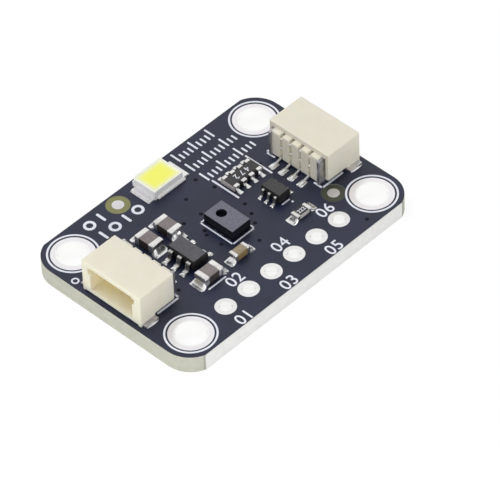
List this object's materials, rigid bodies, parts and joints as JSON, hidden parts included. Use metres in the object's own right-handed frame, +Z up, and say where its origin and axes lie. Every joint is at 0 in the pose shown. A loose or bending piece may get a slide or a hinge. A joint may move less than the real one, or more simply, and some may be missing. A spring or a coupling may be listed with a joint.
{
  "type": "spectral sensor module",
  "caption": "Small circuit board with a light sensor, a white lamp, two side-entry sockets, chips and a row of plated pin holes.",
  "frame": {"origin": "middle of the board's underside", "axes": "+X along the board's long side towards the right socket, +Y towards the lamp, +Z up through the parts"},
  "size_m": [0.0254, 0.0174, 0.0047],
  "materials": {
    "board_mask": "satin solder mask over glass-fibre laminate",
    "tinned_land": "bright tin",
    "solder": "bright solder",
    "socket_nylon": "satin heat-resistant nylon",
    "contact_metal": "tin-plated bronze",
    "lamp_frame": "white moulding",
    "lamp_fill": "yellow phosphor silicone",
    "sensor_case": "matte dark moulding",
    "sensor_window": "dark glossy filter",
    "chip_resin": "matte moulded resin",
    "capacitor_ceramic": "fired ceramic",
    "tan_ceramic": "fired tan ceramic",
    "resistor_ceramic": "alumina with dark glaze",
    "end_band": "tin-plated bands",
    "printed_ink": "white ink"
  },
  "bodies": {
    "root": {"circuit_board": "board_mask", "mounting_land_1": "tinned_land", "mounting_land_2": "tinned_land", "mounting_land_3": "tinned_land", "mounting_land_4": "tinned_land", "header_land_1": "tinned_land", "header_land_2": "tinned_land", "header_land_3": "tinned_land", "header_land_4": "tinned_land", "header_land_5": "tinned_land", "header_land_6": "tinned_land", "rear_alignment_dot": "tinned_land", "front_alignment_dot": "tinned_land", "left_socket_housing": "socket_nylon", "left_socket_contact_1": "contact_metal", "left_socket_contact_2": "contact_metal", "left_socket_contact_3": "contact_metal", "left_socket_contact_4": "contact_metal", "left_socket_rear_nail": "contact_metal", "left_socket_front_nail": "contact_metal", "left_socket_solder": "solder", "right_socket_housing": "socket_nylon", "right_socket_contact_1": "contact_metal", "right_socket_contact_2": "contact_metal", "right_socket_contact_3": "contact_metal", "right_socket_contact_4": "contact_metal", "right_socket_rear_nail": "contact_metal", "right_socket_front_nail": "contact_metal", "right_socket_solder": "solder", "lamp_body": "lamp_frame", "lamp_phosphor": "lamp_fill", "lamp_left_lead": "contact_metal", "lamp_right_lead": "contact_metal", "lamp_solder": "solder", "sensor_base": "chip_resin", "sensor_cap": "sensor_case", "sensor_filter": "sensor_window", "sensor_solder": "solder", "regulator_body": "chip_resin", "regulator_leads": "contact_metal", "regulator_solder": "solder", "shifter_body": "chip_resin", "shifter_leads": "contact_metal", "shifter_solder": "solder", "array_body": "resistor_ceramic", "array_terminals": "end_band", "array_solder": "solder", "resistor_body": "resistor_ceramic", "resistor_bands": "end_band", "resistor_solder": "solder", "input_capacitor_body": "capacitor_ceramic", "input_capacitor_bands": "end_band", "output_capacitor_body": "capacitor_ceramic", "output_capacitor_bands": "end_band", "supply_capacitor_body": "capacitor_ceramic", "supply_capacitor_bands": "end_band", "sensor_capacitor_body": "tan_ceramic", "sensor_capacitor_bands": "end_band", "capacitor_solder": "solder", "printed_legend": "printed_ink"}
  },
  "joints": []
}
